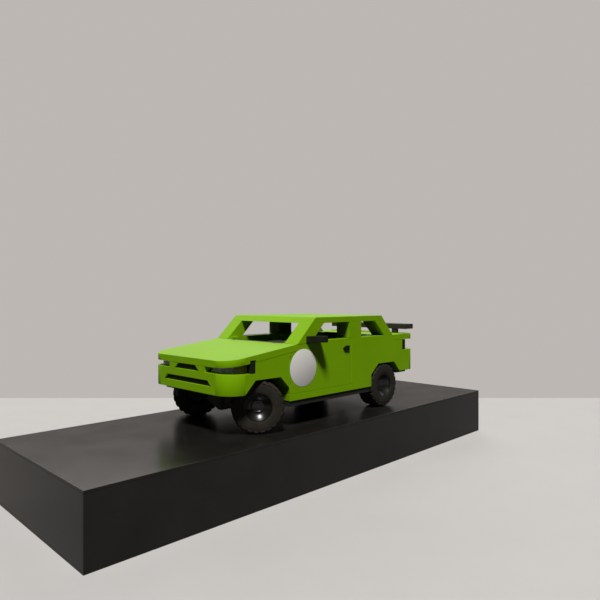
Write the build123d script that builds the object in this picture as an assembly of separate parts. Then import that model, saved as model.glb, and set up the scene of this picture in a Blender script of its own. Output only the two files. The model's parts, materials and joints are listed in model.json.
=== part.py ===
from build123d import *
from math import cos, hypot, pi, radians, sin
import os

# A stock car on its display plinth. Lengths are in millimetres, angles in degrees.
# +X is the car's left side, -Y its nose, +Z up. The origin is the centre of the plinth's underside.
# Heights in the car are measured from the plinth's deck, and save() lifts them by the plinth's height.

# Plinth, a closed box of boards
PLINTH_LENGTH = 8400.0
PLINTH_WIDTH = 2800.0
PLINTH_HEIGHT = 840.0
PLINTH_BOARD = 30.0

# Fits and gaps
SHUT_GAP = 5.0
LID_GAP = 10.0
LID_SEAT = 6.0
PIN_FIT = 0.3
TYRE_SEAT = 0.4

# Body shell
HALF_WIDTH = 990.0
WALL = 279.0
NOSE_Y = -2090.0
TAIL_Y = 2352.0
CORNER_RADIUS = 290.0
TAIL_RADIUS = 150.0
BUMPER_THICK = 150.0
BUMPER_BOTTOM = 590.0
SILL_BOTTOM = 397.0
SILL_TOP = 500.0
BELT_Z = 1268.0
ROOF_TOP = 1627.0
ROOF_THICK = 92.0

# Front lid and windscreen
COWL_Y = -800.0
COWL_Z = 1230.0
NOSE_TOP = 1065.0
HOOD_THICK = 97.0
SCREEN_TOP_Y = -390.0

# Rear lid
C_FOOT_Y = 1659.0
ROOF_REAR_Y = 1319.0
TRUNK_THICK = 99.0
SHELF_FRONT = 1380.0

# Wheels and steering
TYRE_RADIUS = 378.0
TYRE_WIDTH = 330.0
SHOULDER = 25.0
WALL_TOP_RADIUS = 296.0
BEAD_RADIUS = 200.0
BEAD_RELIEF = 4.0
SCRUB = 70.0
KINGPIN_Y = -1390.0
REAR_WHEEL_Y = 1410.0
STEER_REST = 35.0

# Tread lugs, one flat of the tyre for each lug and each groove between two
LUGS = 23
LUG_ANGLE = 10.0
GROOVE_DEPTH = 14.0
GROOVE_LENGTH = 85.0

# Doors
DOOR_FRONT = -957.0
DOOR_REAR = 480.0
DOOR_REAR_SLOPE = 0.19
HINGE_PIN = 5.0
HINGE_RING = 8.0
HINGE_HALF = 20.0
HINGE_DROP = 10.0
LID_HINGE_X = (-500.0, 500.0)
DOOR_HINGE_Z = (660.0, 1040.0)

# Wheel arches, as (y, z) from front to rear
FRONT_ARCH = [(-1800.0, BUMPER_BOTTOM), (-1611.0, 776.0), (-1137.0, 776.0), (-960.0, 600.0),
              (-945.0, SILL_BOTTOM)]
REAR_ARCH = [(1022.0, SILL_BOTTOM), (1026.0, 600.0), (1232.0, 776.0), (1706.0, 776.0),
             (1885.0, BUMPER_BOTTOM)]

# Side windows, as (y, z)
FRONT_WINDOW_REAR = 426.0
REAR_WINDOW_FRONT = 744.0
FRONT_WINDOW_FOOT = -467.0
FRONT_WINDOW_TOP = -198.0
REAR_WINDOW_FOOT = 1403.0
REAR_WINDOW_TOP = 1124.0

# Lamp slots
LAMP_INNER_X = 450.0
HEADLAMP_BOTTOM_FRONT = 885.0
HEADLAMP_BOTTOM_SIDE = 870.0
HEADLAMP_END_Y = -1701.0
HEADLAMP_CAP_Y = -1615.0
HEADLAMP_CAP_TOP = 1052.0
MARKER_FRONT_Y = -1905.0
TAIL_LAMP_BOTTOM = 977.0
TAIL_LAMP_END_Y = 1974.0
TAIL_CAP_LENGTH = 100.0
TAIL_LAMP_OUTER_X = 730.0
LENS_INSET = 80.0
LENS_THICK = 14.0
LAMP_BACK_GAP = 10.0
LAMP_BACK_THICK = 30.0
CAP_WIDTH = 120.0
CAP_PROUD = 4.0

# Grilles, half widths at top and bottom
UPPER_GRILLE_TOP_X = 225.0
UPPER_GRILLE_BOTTOM_X = 313.0
LOWER_GRILLE_TOP_X = 520.0
LOWER_GRILLE_BOTTOM_X = 597.0
LOWER_GRILLE_Z = (698.0, 777.0)
GRILLE_SET_BACK = 25.0
GRILLE_THICK = 20.0

# Floor and panels inside
FLOOR_Z = (420.0, 450.0)
FRONT_FLOOR_Z = (545.0, 575.0)
REAR_FLOOR_Z = (545.0, 575.0)
FRONT_WELL = 320.0
REAR_WELL_GAP = 10.0
SPLITTER_X = 700.0
SPLITTER_Y = (-1990.0, -1830.0)
REAR_PLATE_X = 900.0
REAR_PLATE_END = 2216.0
SHEET = 15.0
FIREWALL_THICK = 30.0
POST_WIDTH = 55.0
LEDGE_DEPTH = 90.0
SHOE_HEIGHT = 30.0

# Rails below the sills, and the ducts under the nose
RAIL_BOTTOM = 310.0
RAIL_INSET = 20.0
RAIL_WIDTH = 330.0
RAIL_WEB = 70.0
RAIL_FRONT_GAP = 10.0
RAIL_REAR_GAP = 22.0
DUCT_X = (480.0, 590.0)
DUCT_Y = (-1915.0, -1835.0)
DUCT_BOTTOM = 412.0

# Suspension and axles
ARM_RISE = 75.0
ARM_THICK = 20.0
SUBFRAME_INSET = 120.0
SUBFRAME_HALF = 100.0
SUBFRAME_KEEL_X = 40.0
SUBFRAME_KEEL_Z = 212.0
SUBFRAME_KNEE_Z = 350.0
UPPER_ARM_Z = 470.0
LOWER_ARM_Z = 345.0
UPPER_ARM_HALF = 45.0
LOWER_ARM_HALF = 80.0
ARM_TIP_HALF = 23.0
SPRING_GAP = 10.0
SPRING_RADIUS = 50.0
AXLE_RADIUS = 45.0
STUB_RADIUS = 30.0
KINGPIN_RADIUS = 16.0
POST_RADIUS = 35.0
BOSS_RADIUS = 34.0
SHIELD_RADIUS = 165.0
SHIELD_THICK = 10.0
DIFFERENTIAL_RADIUS = 140.0

# Rim, sizes along the axle measured outward from the wheel's middle
RIM_WALL = 12.0
FLANGE_RISE = 12.0
FLANGE_WIDTH = 15.0
RIM_INSET = 20.0
RIM_HALF_WIDTH = TYRE_WIDTH / 2 - RIM_INSET
DISH_FACE = 50.0
DISH_RADIUS = 105.0
DISC_THICK = 18.0
HUB_RADIUS = 60.0
HUB_INNER = 20.0
HUB_OUTER = 75.0
CAP_RADIUS = 97.0
STUB_REACH = 55.0
STUB_END_GAP = 2.0

# Door fittings and the wing, the handle's outline as (y, z) from its point round to below
HANDLE_OUTLINE = [(258.0, 1108.0), (328.0, 1148.0), (408.0, 1148.0), (408.0, 1074.0), (312.0, 1074.0)]
HANDLE_THICK = 25.0
MIRROR_Y = (-616.0, -320.0)
MIRROR_Z = (1247.0, 1343.0)
MIRROR_REACH = 218.0
MIRROR_TIP = [(-20.0, -110.0), (0.0, -55.0), (-25.0, 0.0)]
WING_Y = (2162.0, 2437.0)
WING_Z = (1349.0, 1442.0)
WING_HALF = 922.0
WING_POST_X = (611.0, 720.0)
WING_POST_Y = (2170.0, 2240.0)

# Engine block
ENGINE_HALF = 300.0
ENGINE_Y = (-1700.0, -1000.0)
ENGINE_TOP = 980.0

# Driver's place, widths measured inward from the cabin's wall, outlines as (y, z)
DRIVER_INSET = 216.0
SEAT_HALF = 170.0
INSTRUMENTS_INSET = (71.0, 556.0)
DASH_FOOT_Z = 880.0
DASH_TOP_Z = 1190.0
DASH_FACE = [(-560.0, 860.0), (-480.0, 1080.0), (-520.0, 1190.0)]
BINNACLE_BACK_Z = (1180.0, 1205.0)
BINNACLE_FACE = [(-540.0, 1180.0), (-400.0, 1215.0), (-400.0, 1232.0), (-600.0, 1232.0)]
SEAT_FOOT_Y = (-90.0, 430.0)
SEAT_SIDE = [(600.0, 1338.0), (500.0, 1338.0), (330.0, 640.0), (-90.0, 660.0)]
SEAT_SHOULDER = 60.0
WHEEL_CENTRE_Y = -30.0
WHEEL_CENTRE_Z = 1010.0
WHEEL_RADIUS = 180.0
WHEEL_GRIP = 14.0
WHEEL_BOSS_RADIUS = 35.0
WHEEL_BOSS_THICK = 30.0
SPOKE_WIDTH = 30.0
SPOKE_THICK = 8.0
COLUMN_TILT = 12.0
COLUMN_RADIUS = 22.0
COLUMN_END = 60.0
COLUMN_REACH = 560.0
SHAFT_RADIUS = 12.0
SHAFT_LENGTH = 190.0
SHAFT_END_GAP = 10.0

# Sizes worked out from those above
INNER = HALF_WIDTH - WALL
ROOF_BOTTOM = ROOF_TOP - ROOF_THICK
HOOD_REAR = COWL_Y - SHUT_GAP
HOOD_SLOPE = (COWL_Z - NOSE_TOP) / (COWL_Y - NOSE_Y)
SCREEN_SLOPE = (SCREEN_TOP_Y - COWL_Y) / (ROOF_TOP - COWL_Z)
C_SLOPE = (C_FOOT_Y - ROOF_REAR_Y) / (ROOF_TOP - BELT_Z)
COWL_FACE = HOOD_REAR + LID_GAP
WHEEL_Z = TYRE_RADIUS + TYRE_SEAT
WHEEL_X = HALF_WIDTH - TYRE_WIDTH / 2
KINGPIN_X = WHEEL_X - SCRUB
FRONT_FLOOR_X = KINGPIN_X - FRONT_WELL
REAR_FLOOR_X = WHEEL_X - TYRE_WIDTH / 2 - REAR_WELL_GAP - SHEET
SUBFRAME_X = FRONT_FLOOR_X - SUBFRAME_INSET
SPRING_X = FRONT_FLOOR_X + SHEET + SPRING_GAP + SPRING_RADIUS
DRIVER_X = INNER - DRIVER_INSET
FENDER_REAR = DOOR_FRONT - SHUT_GAP
DOOR_BOTTOM = SILL_TOP + SHUT_GAP
DOOR_TOP = BELT_Z - SHUT_GAP
SCREEN_DOOR_TOP = COWL_Z - SHUT_GAP
TRUNK_BOTTOM = BELT_Z - TRUNK_THICK
TRUNK_FRONT = C_FOOT_Y + LID_GAP


def block(x, y, z):
    """A box given by its (low, high) pairs."""
    size = [pair[1] - pair[0] for pair in (x, y, z)]
    return Pos(*[(pair[0] + pair[1]) / 2 for pair in (x, y, z)]) * Box(*size)


def plate_x(points, x0, x1):
    """A plate of outline (y, z) from x0 to x1."""
    face = make_face(Plane.YZ * Polyline(*points, close=True))
    return Pos(x0, 0, 0) * extrude(face, x1 - x0, dir=(1, 0, 0))


def plate_y(points, y0, y1):
    """A plate of outline (x, z) from y0 to y1."""
    face = make_face(Polyline(*[(x, 0, z) for x, z in points], close=True))
    return Pos(0, y0, 0) * extrude(face, y1 - y0, dir=(0, 1, 0))


def plate_z(points, z0, z1):
    """A plate of outline (x, y) from z0 to z1."""
    face = make_face(Polyline(*points, close=True))
    return Pos(0, 0, z0) * extrude(face, z1 - z0, dir=(0, 0, 1))


def rod(radius, start, end):
    """A round rod between two points."""
    way = Vector(*end) - Vector(*start)
    foot = (Align.CENTER, Align.CENTER, Align.MIN)
    return Plane(origin=start, z_dir=way) * Cylinder(radius, way.length, align=foot)


def twin(shape):
    """The left piece and its mirror image on the right."""
    return [shape, mirror(shape, about=Plane.YZ)]


def on_side(shape, side):
    """The left piece itself for side 1, its mirror image for side -1."""
    return shape if side > 0 else mirror(shape, about=Plane.YZ)


def save(node, shapes, lift=PLINTH_HEIGHT):
    """Write a node's solids, lifted from the deck's height to the floor's frame."""
    shapes = shapes if isinstance(shapes, list) else [shapes]
    solids = [Pos(0, 0, lift) * solid for shape in shapes for solid in shape.solids()]
    export_step(solids[0] if len(solids) == 1 else Compound(solids), f"parts/{node}.step")


def hood_top(y):
    """Height of the front lid's upper face."""
    return COWL_Z + (y - COWL_Y) * HOOD_SLOPE


def under_hood(y):
    """Height of what ends just below the front lid."""
    return hood_top(y) - HOOD_THICK - LID_SEAT


def screen_y(z):
    """Front face of the screen pillars at height z."""
    return COWL_Y + (z - COWL_Z) * SCREEN_SLOPE


def c_pillar_y(z):
    """Rear face of the rear pillars at height z."""
    return C_FOOT_Y - (z - BELT_Z) * C_SLOPE


def between(first, second, z):
    """Where the line through two (y, z) points passes height z."""
    return first[0] + (second[0] - first[0]) * (z - first[1]) / (second[1] - first[1])


def shell_form(inset=0.0):
    """The body's plan with four rounded corners, drawn in by inset."""
    half = HALF_WIDTH - inset
    form = block((-half, half), (NOSE_Y + inset, TAIL_Y - inset), (0, ROOF_TOP))
    for radius, end in ((CORNER_RADIUS - inset, slice(0, 2)), (TAIL_RADIUS - inset, slice(-2, None))):
        if radius > 0:
            form = fillet(form.edges().filter_by(Axis.Z).sort_by(Axis.Y)[end], radius)
    return form


def door_end(clearance):
    """All that lies behind the door's slanted rear face, moved back by clearance."""
    low, high = INNER - WALL, HALF_WIDTH + WALL
    line = [(x, DOOR_REAR + clearance + (x - HALF_WIDTH) * DOOR_REAR_SLOPE) for x in (low, high)]
    back = [(high, TAIL_Y), (low, TAIL_Y)]
    return plate_z(line + back, 0, ROOF_TOP)


def plinth():
    """The plinth's boards: deck, base, two sides and two ends."""
    half_l, half_w, board = PLINTH_LENGTH / 2, PLINTH_WIDTH / 2, PLINTH_BOARD
    wall_z = (board, PLINTH_HEIGHT - board)
    full_x, full_y = (-half_w, half_w), (-half_l, half_l)
    save("plinth_deck", block(full_x, full_y, (wall_z[1], PLINTH_HEIGHT)), 0)
    save("plinth_base", block(full_x, full_y, (0, board)), 0)
    save("plinth_sides", twin(block((half_w - board, half_w), full_y, wall_z)), 0)
    end = block((board - half_w, half_w - board), (half_l - board, half_l), wall_z)
    save("plinth_ends", [end, mirror(end, about=Plane.XZ)], 0)


def front_bumper():
    """The nose, its side returns, and the bars between the lamps, with both grilles cut."""
    arch, crown = FRONT_ARCH[0], FRONT_ARCH[1]
    side = [(NOSE_Y, arch[1]), arch, crown, (crown[0], HEADLAMP_BOTTOM_SIDE), (NOSE_Y, HEADLAMP_BOTTOM_FRONT)]
    shell = plate_x(side, -HALF_WIDTH, HALF_WIDTH) & (shell_form() - shell_form(BUMPER_THICK))
    back = NOSE_Y + BUMPER_THICK
    centre = [(NOSE_Y, BUMPER_BOTTOM), (back, BUMPER_BOTTOM), (back, under_hood(back)),
              (NOSE_Y, under_hood(NOSE_Y))]
    shell += plate_x(centre, -LAMP_INNER_X, LAMP_INNER_X)
    return shell - upper_grille_form() - lower_grille_form()


def grille_form(foot, top, clearance):
    """A wedge-shaped opening through the nose, foot and top as (half width, z), drawn in by clearance."""
    lean = (foot[0] - top[0]) / (top[1] - foot[1])
    low_z, high_z = foot[1] + clearance, top[1] - clearance
    low_x, high_x = [foot[0] - lean * (z - foot[1]) - clearance * hypot(1, lean) for z in (low_z, high_z)]
    points = [(-low_x, low_z), (low_x, low_z), (high_x, high_z), (-high_x, high_z)]
    return plate_y(points, NOSE_Y - 1, NOSE_Y + BUMPER_THICK + 1)


def upper_grille_form(clearance=0.0):
    """The opening between the headlamps, open up to the lid."""
    lean = (UPPER_GRILLE_BOTTOM_X - UPPER_GRILLE_TOP_X) / (under_hood(NOSE_Y) - HEADLAMP_BOTTOM_FRONT)
    top = hood_top(NOSE_Y)
    top_x = UPPER_GRILLE_BOTTOM_X - lean * (top - HEADLAMP_BOTTOM_FRONT)
    return grille_form((UPPER_GRILLE_BOTTOM_X, HEADLAMP_BOTTOM_FRONT), (top_x, top), clearance)


def lower_grille_form(clearance=0.0):
    """The long opening low in the nose."""
    low, high = LOWER_GRILLE_Z
    return grille_form((LOWER_GRILLE_BOTTOM_X, low), (LOWER_GRILLE_TOP_X, high), clearance)


def grilles():
    """Dark panels set back in the two openings."""
    face = NOSE_Y + GRILLE_SET_BACK
    slice_y = block((-HALF_WIDTH, HALF_WIDTH), (face, face + GRILLE_THICK), (0, under_hood(NOSE_Y)))
    return [upper_grille_form(PIN_FIT) & slice_y, lower_grille_form(PIN_FIT) & slice_y]


def hood():
    """The front lid, a slab over the whole nose, hinged at the screen's foot."""
    outline = [(HOOD_REAR, hood_top(HOOD_REAR)), (HOOD_REAR, hood_top(HOOD_REAR) - HOOD_THICK),
               (NOSE_Y, hood_top(NOSE_Y) - HOOD_THICK), (NOSE_Y, hood_top(NOSE_Y))]
    slab = plate_x(outline, -HALF_WIDTH, HALF_WIDTH) & shell_form()
    notch = block((HALF_WIDTH - CAP_WIDTH - LID_GAP, HALF_WIDTH + LID_GAP),
                  (HEADLAMP_END_Y - LID_GAP, HEADLAMP_CAP_Y + LID_GAP), (0, HEADLAMP_CAP_TOP + SHUT_GAP))
    for side in (1, -1):
        slab -= on_side(notch, side)
    return lid_with_pins(slab, HOOD_REAR, hood_top(HOOD_REAR), -1)


def lid_hinge_axis(edge_y, top_z, way):
    """Where a lid's hinge line passes, just inside its top edge."""
    return edge_y + way * HINGE_RING, top_z - HINGE_DROP


def lid_with_pins(lid, edge_y, top_z, way):
    """Cut the lid's hinge pockets and leave a pin across each."""
    y, z = lid_hinge_axis(edge_y, top_z, way)
    for x in LID_HINGE_X:
        ends = (x - HINGE_HALF - SHUT_GAP, x + HINGE_HALF + SHUT_GAP)
        reach = sorted((edge_y - way, edge_y + way * 4 * HINGE_RING))
        lid -= block(ends, reach, (z - 2 * HINGE_RING, top_z + HINGE_RING))
        lid += rod(HINGE_PIN, (ends[0] - 1, y, z), (ends[1] + 1, y, z))
    return lid


def lid_lugs(face_y, edge_y, top_z, way):
    """The fixed eyes that a lid's pins turn in."""
    y, z = lid_hinge_axis(edge_y, top_z, way)
    lugs = []
    for x in LID_HINGE_X:
        ends = (x - HINGE_HALF, x + HINGE_HALF)
        arm = block(ends, sorted((face_y, y)), (z - HINGE_RING, z + HINGE_RING))
        lug = arm + rod(HINGE_RING, (ends[0], y, z), (ends[1], y, z))
        lugs.append(lug - rod(HINGE_PIN + PIN_FIT, (ends[0] - 1, y, z), (ends[1] + 1, y, z)))
    return lugs


def front_fender():
    """The left wing panel over the front wheel, ending at the door."""
    arch = FRONT_ARCH
    slope = (arch[3][1] - arch[2][1]) / (arch[3][0] - arch[2][0])
    foot = (FENDER_REAR, arch[2][1] + (FENDER_REAR - arch[2][0]) * slope)
    front = arch[1][0]
    outline = [arch[1], arch[2], foot, (FENDER_REAR, under_hood(FENDER_REAR)), (front, under_hood(front))]
    fender = plate_x(outline, INNER, HALF_WIDTH)
    pin_x, pin_y = door_axis()
    for z in DOOR_HINGE_Z:
        ends = (z - HINGE_HALF, z + HINGE_HALF)
        arm = block((pin_x - HINGE_RING, pin_x + HINGE_RING), (FENDER_REAR, pin_y), ends)
        fender += arm + rod(HINGE_RING, (pin_x, pin_y, ends[0]), (pin_x, pin_y, ends[1]))
        fender -= rod(HINGE_PIN + PIN_FIT, (pin_x, pin_y, ends[0] - 1), (pin_x, pin_y, ends[1] + 1))
    return fender


def door_axis():
    """The upright line that the left door turns about."""
    return HALF_WIDTH - HINGE_RING, DOOR_FRONT + HINGE_RING


def door():
    """The left door, as thick as the wall, from the sill to the belt line."""
    corner = between(FRONT_ARCH[3], FRONT_ARCH[4], DOOR_BOTTOM)
    window = between((FRONT_WINDOW_FOOT, BELT_Z), (FRONT_WINDOW_TOP, ROOF_BOTTOM), SCREEN_DOOR_TOP)
    cowl_edge = COWL_FACE + SHUT_GAP
    outline = [(corner + SHUT_GAP, DOOR_BOTTOM), (DOOR_REAR, DOOR_BOTTOM), (DOOR_REAR, DOOR_TOP),
               (FRONT_WINDOW_FOOT, DOOR_TOP), (window, SCREEN_DOOR_TOP), (cowl_edge, SCREEN_DOOR_TOP),
               (cowl_edge, under_hood(HOOD_REAR)), (DOOR_FRONT, under_hood(DOOR_FRONT)),
               (DOOR_FRONT, FRONT_ARCH[3][1])]
    panel = plate_x(outline, INNER, HALF_WIDTH)
    uprights = panel.edges().filter_by(Axis.Z).filter_by_position(Axis.Y, DOOR_FRONT - 1, DOOR_FRONT + 1)
    panel = fillet(uprights.sort_by(Axis.X)[-1], HINGE_RING) - door_end(0)
    pin_x, pin_y = door_axis()
    for z in DOOR_HINGE_Z:
        ends = (z - HINGE_HALF - SHUT_GAP, z + HINGE_HALF + SHUT_GAP)
        pocket_y = (DOOR_FRONT - 1, pin_y + 2 * HINGE_RING)
        panel -= block((pin_x - 3 * HINGE_RING, HALF_WIDTH + 1), pocket_y, ends)
        panel += rod(HINGE_PIN, (pin_x, pin_y, ends[0] - 1), (pin_x, pin_y, ends[1] + 1))
    return panel


def door_handle():
    """The left door's black pull, pointed at the front."""
    return plate_x(HANDLE_OUTLINE, HALF_WIDTH, HALF_WIDTH + HANDLE_THICK)


def door_mirror():
    """The left mirror, a flat bar that leans back from the foot of the screen pillar."""
    x, low_y, high_y = HALF_WIDTH, MIRROR_Y[0], MIRROR_Y[1]
    tip = [(x + MIRROR_REACH + across, high_y + along) for across, along in MIRROR_TIP]
    outline = [(x, low_y), *tip, (x, high_y)]
    bar = plate_z(outline, *MIRROR_Z)
    gap = (x - 1, x + SHUT_GAP + 1)
    bar -= block(gap, (low_y - 1, FRONT_WINDOW_FOOT + SHUT_GAP), (0, ROOF_TOP))
    return bar - block(gap, (low_y - 1, high_y + 1), (DOOR_TOP, ROOF_TOP))


def sill():
    """The left rocker below the door."""
    front = between(FRONT_ARCH[3], FRONT_ARCH[4], SILL_TOP)
    rear = between(REAR_ARCH[0], REAR_ARCH[1], SILL_TOP)
    outline = [FRONT_ARCH[4], REAR_ARCH[0], (rear, SILL_TOP), (front, SILL_TOP)]
    return plate_x(outline, INNER, HALF_WIDTH)


def rear_quarter():
    """The left rear side panel, from the door to the bumper."""
    arch = REAR_ARCH
    foot = between(arch[0], arch[1], SILL_TOP)
    lid = TRUNK_BOTTOM - LID_SEAT
    start = DOOR_REAR - WALL
    outline = [(start, SILL_TOP), (foot, SILL_TOP), arch[1], arch[2], arch[3], (arch[3][0], lid),
               (C_FOOT_Y, lid), (C_FOOT_Y, BELT_Z), (start, BELT_Z)]
    return plate_x(outline, INNER, HALF_WIDTH) & door_end(SHUT_GAP)


def rear_bumper():
    """The tail and its side returns, with a slot for each lamp."""
    crown, arch = REAR_ARCH[3], REAR_ARCH[4]
    lid = TRUNK_BOTTOM - LID_SEAT
    side = [crown, arch, (TAIL_Y, BUMPER_BOTTOM), (TAIL_Y, TAIL_LAMP_BOTTOM),
            (TAIL_LAMP_END_Y, TAIL_LAMP_BOTTOM), (TAIL_LAMP_END_Y, lid), (crown[0], lid)]
    shell = plate_x(side, -HALF_WIDTH, HALF_WIDTH) & (shell_form() - shell_form(BUMPER_THICK))
    centre = block((-LAMP_INNER_X, LAMP_INNER_X), (TAIL_Y - BUMPER_THICK, TAIL_Y), (BUMPER_BOTTOM, lid))
    return shell + centre


def trunk_lid():
    """The rear lid, a slab over the whole tail, hinged at the rear shelf."""
    slab = block((-HALF_WIDTH, HALF_WIDTH), (TRUNK_FRONT, TAIL_Y), (TRUNK_BOTTOM, BELT_Z)) & shell_form()
    return lid_with_pins(slab, TRUNK_FRONT, BELT_Z, 1)


def rear_wing():
    """The black bar across the tail on two posts."""
    bar = block((-WING_HALF, WING_HALF), WING_Y, WING_Z)
    for post in twin(block(WING_POST_X, WING_POST_Y, (BELT_Z, WING_Z[0]))):
        bar += post
    return bar


def lamp_band(inset, thick, low_z, high_z):
    """A strip that follows the body's plan, low_z and high_z being its (y, z) edges."""
    outline = low_z + high_z[::-1]
    return plate_x(outline, -HALF_WIDTH, HALF_WIDTH) & (shell_form(inset) - shell_form(inset + thick))


def beside(shape, low_x):
    """The part of a shape on the left of low_x."""
    return shape & block((low_x, HALF_WIDTH), (NOSE_Y, TAIL_Y), (0, ROOF_TOP))


def headlamp_bottom(y):
    """Height of the headlamp slot's lower edge."""
    run = (y - NOSE_Y) / (FRONT_ARCH[1][0] - NOSE_Y)
    return HEADLAMP_BOTTOM_FRONT + (HEADLAMP_BOTTOM_SIDE - HEADLAMP_BOTTOM_FRONT) * run


def headlamp_band(inset, thick, rear_y):
    """The left headlamp's strip, from the nose's bar to rear_y."""
    low = [(y, headlamp_bottom(y)) for y in (NOSE_Y, rear_y)]
    high = [(y, under_hood(y)) for y in (NOSE_Y, rear_y)]
    return beside(lamp_band(inset, thick, low, high), LAMP_INNER_X)


def side_marker():
    """The amber end of the left headlamp's strip."""
    strip = headlamp_band(LENS_INSET, LENS_THICK, HEADLAMP_END_Y)
    return strip & block((0, HALF_WIDTH), (MARKER_FRONT_Y, HEADLAMP_END_Y), (0, ROOF_TOP))


def headlamp_lens():
    """The clear part of the left headlamp's strip."""
    return headlamp_band(LENS_INSET, LENS_THICK, MARKER_FRONT_Y)


def headlamp_back():
    """The dark housing behind the left headlamp's strip."""
    return headlamp_band(LENS_INSET + LENS_THICK + LAMP_BACK_GAP, LAMP_BACK_THICK, HEADLAMP_END_Y)


def tail_lamp():
    """The left tail lamp's red strip, which leaves the corner's slot open."""
    rear = TAIL_Y - LENS_INSET
    height = (TAIL_LAMP_BOTTOM, TRUNK_BOTTOM - LID_SEAT)
    return block((LAMP_INNER_X, TAIL_LAMP_OUTER_X), (rear - LENS_THICK, rear), height)


def lamp_caps():
    """The black blocks that close the left lamps' strips on the car's side."""
    inner, outer = HALF_WIDTH - CAP_WIDTH, HALF_WIDTH - CAP_PROUD
    outline = [(y, headlamp_bottom(y)) for y in (HEADLAMP_END_Y, HEADLAMP_CAP_Y)]
    outline += [(HEADLAMP_CAP_Y, HEADLAMP_CAP_TOP), (HEADLAMP_END_Y, HEADLAMP_CAP_TOP)]
    front = plate_x(outline, inner, outer)
    rear = block((inner, outer), (TAIL_LAMP_END_Y, TAIL_LAMP_END_Y + TAIL_CAP_LENGTH),
                 (TAIL_LAMP_BOTTOM, TRUNK_BOTTOM - LID_SEAT))
    return [front, rear]


def a_pillar():
    """The left screen pillar with the hinge post that it stands on."""
    low = between((FRONT_WINDOW_FOOT, BELT_Z), (FRONT_WINDOW_TOP, ROOF_BOTTOM), COWL_Z)
    outline = [(COWL_FACE, COWL_Z), (low, COWL_Z), (FRONT_WINDOW_TOP, ROOF_BOTTOM),
               (screen_y(ROOF_BOTTOM), ROOF_BOTTOM)]
    pillar = plate_x(outline, INNER, HALF_WIDTH)
    post_x = (INNER - SHUT_GAP - POST_WIDTH, INNER - SHUT_GAP)
    post = block(post_x, (COWL_FACE, COWL_FACE + 4 * POST_WIDTH), (FLOOR_Z[1], COWL_Z))
    shoe = block((post_x[0], INNER + 1), (COWL_FACE + POST_WIDTH, COWL_FACE + 4 * POST_WIDTH),
                 (COWL_Z, COWL_Z + SHOE_HEIGHT))
    return pillar + post + shoe


def b_pillar():
    """The left middle pillar."""
    return block((INNER, HALF_WIDTH), (FRONT_WINDOW_REAR, REAR_WINDOW_FRONT), (BELT_Z, ROOF_BOTTOM))


def c_pillar():
    """The left rear pillar."""
    outline = [(REAR_WINDOW_FOOT, BELT_Z), (C_FOOT_Y, BELT_Z), (c_pillar_y(ROOF_BOTTOM), ROOF_BOTTOM),
               (REAR_WINDOW_TOP, ROOF_BOTTOM)]
    return plate_x(outline, INNER, HALF_WIDTH)


def roof():
    """The roof slab, its ends in line with the screen and the rear window."""
    outline = [(screen_y(ROOF_BOTTOM), ROOF_BOTTOM), (SCREEN_TOP_Y, ROOF_TOP), (ROOF_REAR_Y, ROOF_TOP),
               (c_pillar_y(ROOF_BOTTOM), ROOF_BOTTOM)]
    return plate_x(outline, -HALF_WIDTH, HALF_WIDTH)


def cowl():
    """The wall between engine and cabin with the ledge below the screen."""
    half = INNER - SHUT_GAP - POST_WIDTH
    wall = block((-half, half), (COWL_FACE, COWL_FACE + FIREWALL_THICK), (FLOOR_Z[1], COWL_Z))
    ledge = block((-half, half), (COWL_FACE, COWL_FACE + LEDGE_DEPTH), (COWL_Z - SHEET, COWL_Z))
    solid = wall + ledge
    for lug in lid_lugs(COWL_FACE + 1, HOOD_REAR, hood_top(HOOD_REAR), -1):
        solid += lug
    return solid


def rear_shelf():
    """The deck behind the cabin and the wall below its front edge."""
    deck = block((-INNER, INNER), (SHELF_FRONT, C_FOOT_Y), (TRUNK_BOTTOM, BELT_Z))
    wall_y = (SHELF_FRONT, SHELF_FRONT + FIREWALL_THICK)
    tub_top = REAR_ARCH[2][1] + SHEET
    solid = deck + block((-INNER, INNER), wall_y, (tub_top, TRUNK_BOTTOM))
    solid += block((-REAR_FLOOR_X, REAR_FLOOR_X), wall_y, (REAR_FLOOR_Z[1], tub_top))
    for lug in lid_lugs(C_FOOT_Y - 1, TRUNK_FRONT, BELT_Z, 1):
        solid += lug
    return solid


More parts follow.
